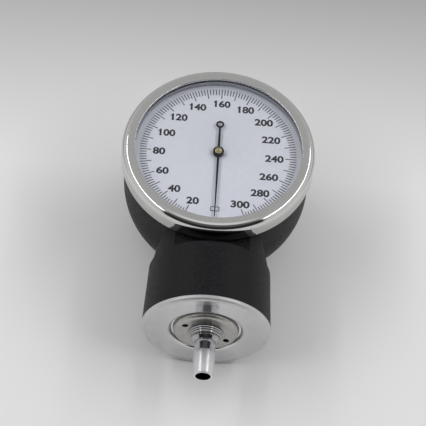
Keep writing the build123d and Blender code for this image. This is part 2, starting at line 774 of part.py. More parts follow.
def capsule_inlet():
    """Elbow below the frame: threaded neck, collar under the capsule, barb for the hose."""
    head = rod(INLET_HEAD_R, FRAME_Z - INLET_HEAD_H, FRAME_Z)
    neck = rod(INLET_R, FRAME_Z, CAPSULE_FOOT - INLET_COLLAR_H)
    collar = rod(INLET_COLLAR_R, CAPSULE_FOOT - INLET_COLLAR_H, CAPSULE_FOOT)
    nipple = rod(INLET_TUBE_R, CAPSULE_FOOT, CAPSULE_RIM_Z - CAPSULE_DISH + CAPSULE_T)
    barb_line = Plane(origin=(0, 0, BARB_Z), x_dir=(1, 0, 0), z_dir=(0, -1, 0))
    barb = barb_line * rod(SPIGOT_R, 0, INLET_HEAD_R + SPIGOT_L)
    airway = rod(AIRWAY_R, BARB_Z, CAPSULE_RIM_Z) + barb_line * rod(AIRWAY_R, 0, INLET_HEAD_R + SPIGOT_L)
    return head + neck + collar + nipple + barb - airway


def hexagon(across, low, high):
    """Hexagonal bar between two heights."""
    return Pos(0, 0, low) * extrude(RegularPolygon(across / 2, 6, major_radius=False), high - low)


def capsule_nut():
    """Nut that clamps the inlet to the frame."""
    nut = hexagon(NUT_ACROSS, FRAME_TOP, FRAME_TOP + NUT_H)
    return nut - rod(INLET_R + PRESS_FIT, FRAME_TOP, FRAME_TOP + NUT_H)


def base_frame():
    """Round plate on the housing's posts that carries capsule and movement."""
    plate = rod(FRAME_R, FRAME_Z, FRAME_TOP) - rod(INLET_R + LOCATING_FIT, FRAME_Z, FRAME_TOP)
    for x, y in around(3, POST_PCD, POST_ANGLE):
        plate -= rod(FRAME_SCREW_R + LOCATING_FIT, FRAME_Z, FRAME_TOP, x, y)
    for x, y in around(3, PILLAR_PCD, PILLAR_ANGLE):
        plate -= rod(STUD_R + LOCATING_FIT, FRAME_Z, FRAME_TOP, x, y)
    for x, y in around(3, FRAME_WINDOW_PCD, 0):
        plate -= rod(FRAME_WINDOW_R, FRAME_Z, FRAME_TOP, x, y)
    return plate


def frame_screws():
    """Three screws that hold the frame on the posts."""
    solids = []
    for x, y in around(3, POST_PCD, POST_ANGLE):
        shank = rod(FRAME_SCREW_R, FRAME_TOP - FRAME_SCREW_L + PIVOT_GAP, FRAME_TOP, x, y)
        solids.append(shank + rod(FRAME_SCREW_HEAD_R, FRAME_TOP, FRAME_TOP + FRAME_SCREW_HEAD_H, x, y))
    return solids


def air_tube():
    """Soft tube inside the grip, from the elbow to the hose fitting."""
    start = -INLET_HEAD_R
    end = -SHOULDER_BACK
    points = [
        (0, start, BARB_Z),
        (0, start - HOSE_RUN - SPIGOT_L, BARB_Z),
        (0, end + HOSE_LAST_RUN + SPIGOT_L, AXIS_Z),
        (0, end, AXIS_Z),
    ]
    path = FilletPolyline(*points, radius=HOSE_BEND_R)
    mouth = Plane(origin=points[0], x_dir=(1, 0, 0), z_dir=(0, -1, 0))
    return sweep(mouth * (Circle(HOSE_R) - Circle(HOSE_BORE_R)), path=path)


# End flange and hose fitting


def end_flange():
    """Polished cap on the grip, dished at its middle for the lock disc."""
    points = [
        (BODY_R + LOCATING_FIT, FLANGE_BACK),
        (GRIP_BORE_R - LOCATING_FIT, FLANGE_BACK),
        (GRIP_BORE_R - LOCATING_FIT, GRIP_END),
        (FLANGE_R, GRIP_END),
        (FLANGE_R, FLANGE_FRONT),
        (RECESS_R, FLANGE_FRONT),
        (RECESS_R, RECESS_FLOOR),
        (BODY_R + LOCATING_FIT, RECESS_FLOOR),
    ]
    corners = [
        ((FLANGE_R, FLANGE_FRONT), FLANGE_ROUND),
        ((RECESS_R, FLANGE_FRONT), RECESS_ROUND),
    ]
    low = FLANGE_BACK + SEAL_W / 2
    groove = tube(GRIP_BORE_R, GRIP_BORE_R - SEAL_GROOVE, low, low + SEAL_W)
    return GRIP_AXIS * (turned(points, corners) - groove)


def flange_seal():
    """Rubber ring in the flange's groove."""
    low = FLANGE_BACK + SEAL_W / 2
    inner = GRIP_BORE_R - SEAL_GROOVE + PRESS_FIT
    return GRIP_AXIS * tube(GRIP_BORE_R - PRESS_FIT, inner, low + LOCATING_FIT, low + SEAL_W - LOCATING_FIT)


def lock_disc():
    """Round nut with two spanner holes that clamps the flange to the hose fitting."""
    points = [
        (BODY_R + PRESS_FIT, RECESS_FLOOR),
        (DISC_R, RECESS_FLOOR),
        (DISC_R, DISC_FRONT),
        (BODY_R + PRESS_FIT, DISC_FRONT),
    ]
    disc = turned(points, [((DISC_R, DISC_FRONT), DISC_EDGE)])
    for x, y in around(2, SPANNER_PCD, SPANNER_ANGLE):
        disc -= rod(SPANNER_R, DISC_FRONT - SPANNER_DEPTH, DISC_FRONT, x, y)
    return GRIP_AXIS * disc


def inlet_body():
    """Turned hose fitting: inner barb, shoulder, threaded body and stem."""
    body_end = DISC_FRONT + BOSS_STEPS * BOSS_STEP_L
    stem_end = NOZZLE_BACK + SOCKET_DEPTH - SOCKET_END_GAP
    body = rod(SPIGOT_R, SHOULDER_BACK - SPIGOT_L, SHOULDER_BACK)
    body += rod(BODY_SHOULDER_R, SHOULDER_BACK, SHOULDER_FRONT)
    body += rod(BODY_R, SHOULDER_FRONT, body_end)
    body += rod(STEM_R, body_end, NOZZLE_BACK)
    body += rod(SOCKET_R - PRESS_FIT, NOZZLE_BACK, stem_end)
    return GRIP_AXIS * (body - rod(AIRWAY_R, SHOULDER_BACK - SPIGOT_L, stem_end))


def inlet_seal():
    """Flat gasket between the fitting's shoulder and the flange."""
    return GRIP_AXIS * tube(BODY_SHOULDER_R, BODY_R + LOCATING_FIT, SHOULDER_FRONT, FLANGE_BACK)


def boss_nut():
    """Stepped nut in front of the disc, tapering to the stem."""
    points = [(STEM_R + PRESS_FIT, BOSS_FRONT), (STEM_R + PRESS_FIT, BOSS_FRONT - BOSS_TAPER_L)]
    points.append((BODY_R + PRESS_FIT, BOSS_FRONT - BOSS_TAPER_L))
    points.append((BODY_R + PRESS_FIT, DISC_FRONT))
    for k in range(BOSS_STEPS):
        radius = BOSS_R - BOSS_STEP * k / 2
        points.append((radius, DISC_FRONT + BOSS_STEP_L * k))
        points.append((radius, DISC_FRONT + BOSS_STEP_L * (k + 1)))
    points.append((BOSS_NOSE_R, BOSS_FRONT))
    return GRIP_AXIS * turned(points)


def hose_nozzle():
    """Tapered nozzle that the hose is pushed over, with a socket for the stem at its back."""
    points = [
        (SOCKET_R, NOZZLE_BACK),
        (NOZZLE_BACK_R, NOZZLE_BACK),
        (NOZZLE_TIP_R, NOZZLE_TIP),
        (NOZZLE_BORE_R, NOZZLE_TIP),
        (NOZZLE_BORE_R, NOZZLE_BACK + SOCKET_DEPTH),
        (SOCKET_R, NOZZLE_BACK + SOCKET_DEPTH),
    ]
    corners = [
        ((NOZZLE_TIP_R, NOZZLE_TIP), NOZZLE_ROUND),
        ((NOZZLE_BACK_R, NOZZLE_BACK), NOZZLE_ROUND),
    ]
    return GRIP_AXIS * turned(points, corners)


PIECES = [
    housing,
    bezel,
    crystal,
    crystal_gasket,
    dial_ring,
    dial_plate,
    pointer,
    pointer_collet,
    pointer_arbor,
    pinion,
    sector_gear,
    sector_arbor,
    rocker_shaft,
    rocker_arms,
    movement_top_plate,
    movement_bottom_plate,
    upper_bearing,
    upper_pillars,
    lower_pillars,
    movement_screws,
    hairspring,
    hairspring_collet,
    hairspring_stud,
    capsule_upper_diaphragm,
    capsule_lower_diaphragm,
    capsule_stud,
    capsule_inlet,
    capsule_nut,
    base_frame,
    frame_screws,
    air_tube,
    end_flange,
    flange_seal,
    lock_disc,
    inlet_body,
    inlet_seal,
    boss_nut,
    hose_nozzle,
]

os.makedirs("parts", exist_ok=True)
for piece in PIECES:
    solids = piece()
    if isinstance(solids, list):
        solids = Compound(children=solids)
    export_step(solids, f"parts/{piece.__name__}.step")
    print(piece.__name__)
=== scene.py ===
from math import cos, hypot, pi, radians, sin

import bmesh
import bpy
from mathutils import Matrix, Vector


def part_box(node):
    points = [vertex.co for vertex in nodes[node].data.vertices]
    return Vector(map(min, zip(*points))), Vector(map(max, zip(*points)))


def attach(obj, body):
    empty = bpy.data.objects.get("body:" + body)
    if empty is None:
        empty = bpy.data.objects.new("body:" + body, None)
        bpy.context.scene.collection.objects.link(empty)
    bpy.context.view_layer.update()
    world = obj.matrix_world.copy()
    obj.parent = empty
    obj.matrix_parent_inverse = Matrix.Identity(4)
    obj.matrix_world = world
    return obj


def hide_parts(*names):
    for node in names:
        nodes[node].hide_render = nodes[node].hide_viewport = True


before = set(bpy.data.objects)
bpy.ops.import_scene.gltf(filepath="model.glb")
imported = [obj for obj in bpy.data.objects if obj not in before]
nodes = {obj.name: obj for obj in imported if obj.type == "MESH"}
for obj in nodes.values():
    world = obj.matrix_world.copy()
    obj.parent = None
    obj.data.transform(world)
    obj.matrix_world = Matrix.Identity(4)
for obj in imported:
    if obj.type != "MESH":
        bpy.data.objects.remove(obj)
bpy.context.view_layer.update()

# Lengths are in millimetres, as on a drawing, and MM turns them into metres.
MM = 0.001
# Points closer than MERGE become one, so that a ring of radius ON_AXIS closes to a point.
MERGE = 0.001
ON_AXIS = 0.0004
# An edge counts as found when it lies this close to the place asked for.
EDGE_FOUND = 0.004
ROUND_STEPS = 160
SMALL_STEPS = 96
EYE_STEPS = 64
HOLE_STEPS = 40
SMOOTH_UNDER = radians(32)
SHARP_OVER = radians(40)


# Heights and radii that follow the frame

def span(node, axis):
    """Lowest and highest place of a node along X, Y or Z (0, 1, 2), in millimetres."""
    low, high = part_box(node)
    return low[axis] / MM, high[axis] / MM


def reach(node):
    """Back and front end of a piece on the grip's axis, as distances out of the dial's centre."""
    front, back = span(node, 1)
    return -back, -front


def radius_of(node):
    """Outer radius of a round node that is centred on X."""
    return span(node, 0)[1]


GRIP_AXIS_Z = sum(span("end_flange", 2)) / 2
BEZEL_LOW, BEZEL_TOP = span("bezel", 2)
BEZEL_R = radius_of("bezel")
DIAL_BACK, DIAL_FACE = span("dial_plate", 2)
DIAL_R = radius_of("dial_plate")
GLASS_LOW, GLASS_TOP = span("crystal", 2)
HAND_LOW, HAND_HIGH = span("pointer", 2)
COLLET_LOW, COLLET_TOP = span("pointer_collet", 2)
FLANGE_R = radius_of("end_flange")
FLANGE_BACK, FLANGE_FRONT = reach("end_flange")
DISC_R = radius_of("lock_disc")
DISC_BACK, DISC_FRONT = reach("lock_disc")
BOSS_R = radius_of("boss_nut")
BOSS_FRONT = reach("boss_nut")[1]
FITTING_BACK, FITTING_FRONT = reach("inlet_body")
NOZZLE_BACK, NOZZLE_TIP = reach("hose_nozzle")


# Sizes that two pieces, or a piece and its finish, share

PRINT_T = 0.03
# The disc's rim and face stand further out than the front of its solid.
DISC_RIM = DISC_FRONT + 0.8
DISC_FACE = DISC_RIM - 0.18
DISC_BORE_R = 5.01
FLANGE_ROLL = 1.1
HOLE_RING_R = 8.1
HOLE_R = 1.05
TAPER_LENGTH = 2.0
NOZZLE_BORE_R = 2.45


# Workshop helpers

def work_on(piece):
    """Only this piece is selected and active."""
    bpy.ops.object.select_all(action="DESELECT")
    piece.select_set(True)
    bpy.context.view_layer.objects.active = piece


def named(name):
    """Gives the active object its name."""
    piece = bpy.context.object
    piece.name = name
    piece.data.name = name
    return piece


def settle(piece, place=(0, 0, 0), angles=(0, 0, 0), size=(1, 1, 1)):
    """Scales, turns and moves a piece, and takes all of it into its mesh."""
    work_on(piece)
    piece.scale = size
    piece.rotation_euler = angles
    piece.location = [along * MM for along in place]
    bpy.ops.object.transform_apply(location=True, rotation=True, scale=True)


def lay_along_grip(piece):
    """Turns an upright piece onto the grip's axis, its height becoming the distance out."""
    settle(piece, (0, 0, GRIP_AXIS_Z), (pi / 2, 0, 0))


def leaf(name, wide, deep, place, turned=0.0):
    """Flat rectangle, still without a thickness."""
    bpy.ops.object.select_all(action="DESELECT")
    bpy.ops.mesh.primitive_plane_add(size=1, location=(0, 0, 0))
    piece = named(name)
    settle(piece, place, (0, 0, turned), (wide * MM, deep * MM, 1))
    return piece


def thicken(height):
    """In edit mode, draws the whole piece upwards and turns its faces outwards."""
    bpy.ops.mesh.select_all(action="SELECT")
    bpy.ops.mesh.extrude_region_move(TRANSFORM_OT_translate={"value": (0, 0, height * MM)})
    bpy.ops.mesh.select_all(action="SELECT")
    bpy.ops.mesh.normals_make_consistent(inside=False)


def turn(name, rings, steps=ROUND_STEPS):
    """Turned piece, drawn out from (radius, height) rings about the upright axis and closed."""
    bpy.ops.object.select_all(action="DESELECT")
    radius, height = rings[0]
    bpy.ops.mesh.primitive_circle_add(
        vertices=steps, radius=radius * MM, location=(0, 0, height * MM)
    )
    piece = named(name)
    bpy.ops.object.transform_apply(location=True, rotation=False, scale=False)
    bpy.ops.object.mode_set(mode="EDIT")
    bpy.ops.mesh.select_mode(type="EDGE")
    bpy.ops.mesh.select_all(action="SELECT")
    for next_radius, next_height in rings[1:] + rings[:1]:
        rise = (next_height - height) * MM
        bpy.ops.mesh.extrude_edges_move(TRANSFORM_OT_translate={"value": (0, 0, rise)})
        grow = next_radius / radius
        bpy.ops.transform.resize(
            value=(grow, grow, 1), center_override=(0, 0, next_height * MM)
        )
        radius, height = next_radius, next_height
    bpy.ops.mesh.select_all(action="SELECT")
    bpy.ops.mesh.remove_doubles(threshold=MERGE * MM)
    bpy.ops.mesh.normals_make_consistent(inside=False)
    bpy.ops.object.mode_set(mode="OBJECT")
    return piece


def round_rings(piece, rings, width, segments=4):
    """Rounds the ring edges that lie at the given radii and heights."""

    def on(vert, ring):
        radius = hypot(vert.co.x, vert.co.y) / MM
        height = vert.co.z / MM
        return abs(radius - ring[0]) < EDGE_FOUND and abs(height - ring[1]) < EDGE_FOUND

    work_on(piece)
    bpy.ops.object.mode_set(mode="EDIT")
    bpy.ops.mesh.select_mode(type="EDGE")
    bpy.ops.mesh.select_all(action="DESELECT")
    mesh = bmesh.from_edit_mesh(piece.data)
    for edge in mesh.edges:
        edge.select = any(all(on(v, ring) for v in edge.verts) for ring in rings)
    bmesh.update_edit_mesh(piece.data)
    bpy.ops.mesh.bevel(offset=width * MM, segments=segments, affect="EDGES")
    bpy.ops.object.mode_set(mode="OBJECT")


def smooth(piece):
    """Soft shading over curves, crisp at real edges."""
    work_on(piece)
    bpy.ops.object.shade_smooth_by_angle(angle=SMOOTH_UNDER)


def combine(piece, other, operation):
    """Boolean of two solids, applied, with the second one used up."""
    work_on(piece)
    modifier = piece.modifiers.new("combine", "BOOLEAN")
    modifier.operation = operation
    modifier.solver = "EXACT"
    modifier.object = other
    bpy.ops.object.modifier_apply(modifier=modifier.name)
    bpy.data.objects.remove(other)


def wear_off_edges(piece, width):
    """Small bevel on every sharp edge, applied."""
    work_on(piece)
    modifier = piece.modifiers.new("edge", "BEVEL")
    modifier.width = width * MM
    modifier.segments = 2
    modifier.limit_method = "ANGLE"
    modifier.angle_limit = SHARP_OVER
    bpy.ops.object.modifier_apply(modifier=modifier.name)


# Steps that finishes are made of

def shader(name):
    """New material, with its node tree and its main shader."""
    finish = bpy.data.materials.new(name)
    finish.use_nodes = True
    return finish, finish.node_tree, main_shader(finish)


def main_shader(finish):
    """The shader that all of a finish's inputs go to."""
    return finish.node_tree.nodes["Principled BSDF"]


def places(tree, source="Object"):
    """X, Y and Z of the place on the piece, or of the direction looked in for Generated."""
    place = tree.nodes.new("ShaderNodeTexCoord")
    split = tree.nodes.new("ShaderNodeSeparateXYZ")
    tree.links.new(place.outputs[source], split.inputs["Vector"])
    return split.outputs


def grain(tree, scale):
    """Fine noise fixed to the piece; scale is in cycles per metre."""
    place = tree.nodes.new("ShaderNodeTexCoord")
    noise = tree.nodes.new("ShaderNodeTexNoise")
    noise.inputs["Scale"].default_value = scale
    noise.inputs["Detail"].default_value = 3.0
    tree.links.new(place.outputs["Object"], noise.inputs["Vector"])
    return noise.outputs["Fac"]


def between(tree, value, low, high, start=0.3, end=0.7):
    """Goes from low to high while the value goes from start to end."""
    remap = tree.nodes.new("ShaderNodeMapRange")
    remap.inputs["From Min"].default_value = start
    remap.inputs["From Max"].default_value = end
    remap.inputs["To Min"].default_value = low
    remap.inputs["To Max"].default_value = high
    tree.links.new(value, remap.inputs["Value"])
    return remap.outputs["Result"]


def shades(tree, value, dark, light, start=0.35, end=0.65):
    """Colour that goes from dark to light while the value goes from start to end."""
    ramp = tree.nodes.new("ShaderNodeValToRGB")
    ramp.color_ramp.elements[0].position = start
    ramp.color_ramp.elements[0].color = (*dark, 1)
    ramp.color_ramp.elements[1].position = end
    ramp.color_ramp.elements[1].color = (*light, 1)
    tree.links.new(value, ramp.inputs["Fac"])
    return ramp.outputs["Color"]


def reckon(tree, operation, first, second=0.0):
    """One step of arithmetic on a value."""
    step = tree.nodes.new("ShaderNodeMath")
    step.operation = operation
    tree.links.new(first, step.inputs[0])
    if isinstance(second, float):
        step.inputs[1].default_value = second
    else:
        tree.links.new(second, step.inputs[1])
    return step.outputs["Value"]


def grip_radius(tree):
    """Distance from the grip's axis, in metres."""
    place = tree.nodes.new("ShaderNodeTexCoord")
    offset = tree.nodes.new("ShaderNodeVectorMath")
    offset.operation = "SUBTRACT"
    offset.inputs[1].default_value = (0, 0, GRIP_AXIS_Z * MM)
    tree.links.new(place.outputs["Object"], offset.inputs[0])
    flat = tree.nodes.new("ShaderNodeVectorMath")
    flat.operation = "MULTIPLY"
    flat.inputs[1].default_value = (1, 0, 1)
    tree.links.new(offset.outputs["Vector"], flat.inputs[0])
    out = tree.nodes.new("ShaderNodeVectorMath")
    out.operation = "LENGTH"
    tree.links.new(flat.outputs["Vector"], out.inputs[0])
    return out.outputs["Value"]


# Black painted in as shade, where little light gets into a hole.
PAINTED_SHADE_BLACK = (0.01, 0.01, 0.01, 1)


def darken_inside(finish, openness):
    """Paints shade into the finish where openness falls to zero: black that stands in for the shade in
    a deep hole.
    """
    tree = finish.node_tree
    main = main_shader(finish)
    paint = main.inputs["Base Color"].links[0].from_socket
    mix = tree.nodes.new("ShaderNodeMix")
    mix.data_type = "RGBA"
    mix.inputs["A"].default_value = PAINTED_SHADE_BLACK
    tree.links.new(openness, mix.inputs["Factor"])
    tree.links.new(paint, mix.inputs["B"])
    tree.links.new(mix.outputs["Result"], main.inputs["Base Color"])


def metal(name, dark, light, rough, scale):
    """Metal whose colour and polish vary a little with a fine grain."""
    finish, tree, main = shader(name)
    main.inputs["Metallic"].default_value = 1.0
    value = grain(tree, scale)
    tree.links.new(shades(tree, value, dark, light), main.inputs["Base Color"])
    tree.links.new(between(tree, value, *rough), main.inputs["Roughness"])
    return finish


def coating(name, dark, light, rough, scale, relief, shine=0.5):
    """Paint, print, plastic or rubber with a fine grain, which also stands up as a relief."""
    finish, tree, main = shader(name)
    main.inputs["Specular IOR Level"].default_value = shine
    value = grain(tree, scale)
    tree.links.new(shades(tree, value, dark, light), main.inputs["Base Color"])
    tree.links.new(between(tree, value, *rough), main.inputs["Roughness"])
    bump = tree.nodes.new("ShaderNodeBump")
    bump.inputs["Distance"].default_value = relief * MM
    tree.links.new(value, bump.inputs["Height"])
    tree.links.new(bump.outputs["Normal"], main.inputs["Normal"])
    return finish


# Finishes of the outside

def clear_glass():
    """Clear window that lets the lamps through to the dial."""
    finish, tree, main = shader("window_glass")
    main.inputs["Alpha"].default_value = 0.07
    main.inputs["IOR"].default_value = 1.5
    value = grain(tree, scale=40)
    tint = shades(tree, value, dark=(0.04, 0.05, 0.06), light=(0.06, 0.07, 0.08))
    tree.links.new(tint, main.inputs["Base Color"])
    tree.links.new(between(tree, value, low=0.01, high=0.03), main.inputs["Roughness"])
    return finish


def rim_chrome():
    """Chrome of the flange: a polished face and a less polished rolled edge."""
    finish, tree, main = shader("flange_chrome")
    main.inputs["Metallic"].default_value = 1.0
    value = grain(tree, scale=400)
    paint = shades(tree, value, dark=(0.62, 0.62, 0.63), light=(0.65, 0.65, 0.66))
    tree.links.new(paint, main.inputs["Base Color"])
    roll_r = FLANGE_R - FLANGE_ROLL
    rough = between(
        tree, grip_radius(tree), low=0.12, high=0.52,
        start=(roll_r - 0.8) * MM, end=roll_r * MM,
    )
    tree.links.new(rough, main.inputs["Roughness"])
    return finish


def matt_seat(finish):
    """The inner ring's top face, where the window rests, is left matt."""
    tree = finish.node_tree
    rough = main_shader(finish).inputs["Roughness"]
    polish = rough.links[0].from_socket
    seat = between(
        tree, places(tree)["Z"], low=0.0, high=0.8,
        start=(GLASS_LOW - 0.06) * MM, end=(GLASS_LOW - 0.03) * MM,
    )
    tree.links.new(reckon(tree, "MAXIMUM", polish, seat), rough)


def dark_spanner_holes(finish):
    """Painted shade inside the disc's two holes; its edge is left unshaded."""
    tree = finish.node_tree
    holes_end = HOLE_RING_R + HOLE_R
    shallow = between(
        tree, places(tree)["Y"], low=0.0, high=1.0,
        start=-(DISC_FACE - 0.8) * MM, end=-(DISC_FACE - 0.5) * MM,
    )
    edge = between(
        tree, grip_radius(tree), low=0.0, high=1.0,
        start=(holes_end + 0.25) * MM, end=(holes_end + 0.45) * MM,
    )
    darken_inside(finish, reckon(tree, "MAXIMUM", shallow, edge))


def dark_bore(finish):
    """Painted shade in the nozzle's bore, from just inside its mouth."""
    tree = finish.node_tree
    wall = between(
        tree, grip_radius(tree), low=0.0, high=1.0,
        start=(NOZZLE_BORE_R + 0.07) * MM, end=(NOZZLE_BORE_R + 0.15) * MM,
    )
    darken_inside(finish, wall)


black_moulding = coating(
    "black_moulding", dark=(0.001, 0.001, 0.002), light=(0.011, 0.011, 0.013),
    rough=(0.38, 0.66), scale=1500, relief=0.06, shine=0.23,
)
dial_white = coating(
    "dial_white", dark=(0.80, 0.82, 0.91), light=(0.83, 0.85, 0.94),
    rough=(0.5, 0.6), scale=500, relief=0.002, shine=0.2,
)
dial_ink = coating(
    "dial_ink", dark=(0.045, 0.046, 0.051), light=(0.060, 0.061, 0.067),
    rough=(0.5, 0.6), scale=3000, relief=0.002, shine=0.2,
)
mark_ink = coating(
    "mark_ink", dark=(0.06, 0.062, 0.068), light=(0.08, 0.082, 0.088),
    rough=(0.5, 0.6), scale=3000, relief=0.002, shine=0.2,
)
pointer_black = coating(
    "pointer_black", dark=(0.010, 0.010, 0.011), light=(0.016, 0.016, 0.018),
    rough=(0.3, 0.4), scale=1500, relief=0.002, shine=0.3,
)
bezel_chrome = metal(
    "bezel_chrome", dark=(0.66, 0.66, 0.65), light=(0.68, 0.68, 0.67), rough=(0.085, 0.10), scale=300
)
ring_metal = metal(
    "ring_metal", dark=(0.39, 0.40, 0.42), light=(0.48, 0.49, 0.51), rough=(0.10, 0.16), scale=1800
)
collet_brass = metal(
    "collet_brass", dark=(0.66, 0.55, 0.30), light=(0.76, 0.66, 0.40), rough=(0.18, 0.28), scale=3000
)
disc_nickel = metal(
    "disc_nickel", dark=(0.43, 0.42, 0.40), light=(0.49, 0.48, 0.46), rough=(0.30, 0.36), scale=900
)
# The boss's chrome is darker than the stem's: painted shade for the dark surroundings that the boss
# mirrors.
boss_chrome = metal(
    "boss_chrome", dark=(0.40, 0.40, 0.41), light=(0.45, 0.45, 0.46), rough=(0.10, 0.13), scale=500
)
stem_chrome = metal(
    "stem_chrome", dark=(0.64, 0.64, 0.67), light=(0.67, 0.67, 0.70), rough=(0.07, 0.09), scale=500
)
nozzle_nickel = metal(
    "nozzle_nickel", dark=(0.69, 0.69, 0.71), light=(0.73, 0.73, 0.75), rough=(0.34, 0.38), scale=500
)
flange_chrome = rim_chrome()
window_glass = clear_glass()
matt_seat(ring_metal)
# Painted shade in the disc's spanner holes.
dark_spanner_holes(disc_nickel)
# Painted shade in the nozzle's bore.
dark_bore(nozzle_nickel)


# Finishes of the inside

movement_brass = metal(
    "movement_brass", dark=(0.55, 0.40, 0.17), light=(0.66, 0.50, 0.24), rough=(0.22, 0.36), scale=1800
)
arbor_steel = metal(
    "arbor_steel", dark=(0.48, 0.48, 0.49), light=(0.60, 0.60, 0.61), rough=(0.16, 0.28), scale=2200
)
spring_bronze = metal(
    "spring_bronze", dark=(0.50, 0.30, 0.14), light=(0.62, 0.40, 0.20), rough=(0.2, 0.3), scale=2400
)
capsule_bronze = metal(
    "capsule_bronze", dark=(0.52, 0.36, 0.18), light=(0.62, 0.45, 0.25), rough=(0.2, 0.32), scale=900
)
seal_rubber = coating(
    "seal_rubber", dark=(0.012, 0.012, 0.012), light=(0.02, 0.02, 0.02),
    rough=(0.6, 0.8), scale=2000, relief=0.01,
)
window_rubber = coating(
    "window_rubber", dark=(0.16, 0.16, 0.17), light=(0.22, 0.22, 0.23),
    rough=(0.5, 0.7), scale=2000, relief=0.01,
)

NODE_FINISHES = [
    (black_moulding, ["housing"]),
    (window_glass, ["crystal"]),
    (window_rubber, ["crystal_gasket"]),
    (seal_rubber, ["air_tube", "flange_seal", "inlet_seal"]),
    (spring_bronze, ["hairspring"]),
    (capsule_bronze, ["capsule_upper_diaphragm", "capsule_lower_diaphragm"]),
    (arbor_steel, [
        "pointer_arbor", "sector_arbor", "rocker_shaft", "capsule_stud",
        "movement_screws", "base_frame", "frame_screws",
    ]),
    (movement_brass, [
        "pinion", "sector_gear", "rocker_arms", "movement_top_plate", "movement_bottom_plate",
        "upper_bearing", "upper_pillars", "lower_pillars", "hairspring_collet", "hairspring_stud",
        "capsule_inlet", "capsule_nut",
    ]),
]
for finish, node_names in NODE_FINISHES:
    for node_name in node_names:
        slots = nodes[node_name].data.materials
        slots.clear()
        slots.append(finish)


def fit(piece, finish, node, body="case"):
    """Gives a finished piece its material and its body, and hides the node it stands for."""
    piece.data.materials.clear()
    piece.data.materials.append(finish)
    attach(piece, body)
    if node:
        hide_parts(node)


# Bezel, inner ring and dial

def bezel():
    """Chrome ring: flat wall, soft shoulder, nearly flat top and a thin lip over the glass."""
    lip_r = 28.45
    wall_r = BEZEL_R - 1.5
    shoulder = BEZEL_TOP - 0.4
    shoulder_round = 2.4
    edge_round = 0.25
    rings = [
        (wall_r, BEZEL_LOW),
        (BEZEL_R, BEZEL_LOW),
        (BEZEL_R, shoulder),
        (lip_r, BEZEL_TOP),
        (lip_r, GLASS_TOP),
        (wall_r, GLASS_TOP),
    ]
    piece = turn("bezel_ring", rings)
    round_rings(piece, [(BEZEL_R, shoulder)], width=shoulder_round, segments=12)
    round_rings(piece, [(lip_r, BEZEL_TOP)], width=edge_round)
    round_rings(piece, [(BEZEL_R, BEZEL_LOW)], width=edge_round)
    smooth(piece)
    fit(piece, bezel_chrome, "bezel")


def inner_ring():
    """Bright ring between glass and dial."""
    bore_r = 28.5
    rings = [(DIAL_R, DIAL_FACE), (DIAL_R, GLASS_LOW), (bore_r, GLASS_LOW), (bore_r, DIAL_FACE)]
    piece = turn("inner_ring", rings)
    round_rings(piece, [(bore_r, DIAL_FACE)], width=0.1, segments=2)
    smooth(piece)
    fit(piece, ring_metal, "dial_ring")


def dial():
    """White dial plate with a hole for the arbor."""
    hole_r = 1.5
    rings = [(hole_r, DIAL_BACK), (DIAL_R, DIAL_BACK), (DIAL_R, DIAL_FACE), (hole_r, DIAL_FACE)]
    piece = turn("dial_face", rings)
    round_rings(piece, [(hole_r, DIAL_FACE)], width=0.08, segments=2)
    smooth(piece)
    fit(piece, dial_white, "dial_plate")


# Printing on the dial

DEGREES_PER_MMHG = 1.125
FIRST_MARK = 20
LAST_MARK = 300
FINE_STEP = 2
LONG_STEP = 10
SCALE_R = 26.8
# The ring of strokes lies a little below the dial's centre and is a little taller than wide.
SCALE_DROP = 0.45
SCALE_TALL = 1.018
FINE_MARK_L = 2.3
LONG_MARK_GAP = 0.02
LONG_MARK_L = 1.53
MARK_W = 0.29


def strokes(name, outer, length, step):
    """Printed strokes from the first to the last mark, one stroke spun round the dial."""
    first_turn = radians(FIRST_MARK * DEGREES_PER_MMHG)
    sweep = radians((LAST_MARK - FIRST_MARK) * DEGREES_PER_MMHG)
    piece = leaf(name, MARK_W, length, (0, length / 2 - outer, DIAL_FACE))
    settle(piece, angles=(0, 0, -first_turn))
    bpy.ops.object.mode_set(mode="EDIT")
    thicken(PRINT_T)
    bpy.ops.mesh.spin(
        steps=(LAST_MARK - FIRST_MARK) // step,
        dupli=True,
        angle=sweep,
        center=(0, 0, 0),
        axis=(0, 0, 1),
    )
    bpy.ops.object.mode_set(mode="OBJECT")
    settle(piece, (0, -SCALE_DROP, 0), size=(1, SCALE_TALL, 1))
    fit(piece, mark_ink, None)


# Middle of each number, across and up from the dial's centre
NUMERALS = {
    20: (-7.6, -20.0),
    40: (-14.1, -15.7),
    60: (-18.5, -8.7),
    80: (-20.2, -0.8),
    100: (-18.1, 7.0),
    120: (-14.3, 13.8),
    140: (-8.1, 18.7),
    160: (0.2, 20.7),
    180: (8.5, 18.9),
    200: (15.0, 14.1),
    220: (17.8, 7.0),
    240: (19.2, -0.7),
    260: (17.6, -8.3),
    280: (14.9, -15.1),
    300: (8.4, -20.2),
}
NUMERAL_H = 2.85
NUMERAL_BOLD = 0.10
DIGIT_W = 2.12
ONE_NARROWER = 0.45
FLAG_L = 0.95
FLAG_W = 0.42
FLAG_SLANT = radians(35)
FLAG_INSET = 0.05
FLAG_DROP = 0.6


def limits(piece, axis):
    """Lowest and highest place of a mesh along X or Y (0, 1), in millimetres."""
    along = [vert.co[axis] / MM for vert in piece.data.vertices]
    return min(along), max(along)


def flag_one(piece):
    """Adds the slanted stroke at the head of a one that leads the number."""
    left = limits(piece, 0)[0]
    top = limits(piece, 1)[1]
    just_under = -(PRINT_T / 2 + 0.002)
    middle = (left + FLAG_INSET, top - FLAG_DROP, just_under)
    flag = leaf("flag", FLAG_L, FLAG_W, middle, FLAG_SLANT)
    bpy.ops.object.mode_set(mode="EDIT")
    thicken(PRINT_T)
    bpy.ops.object.mode_set(mode="OBJECT")
    work_on(piece)
    flag.select_set(True)
    bpy.ops.object.join()


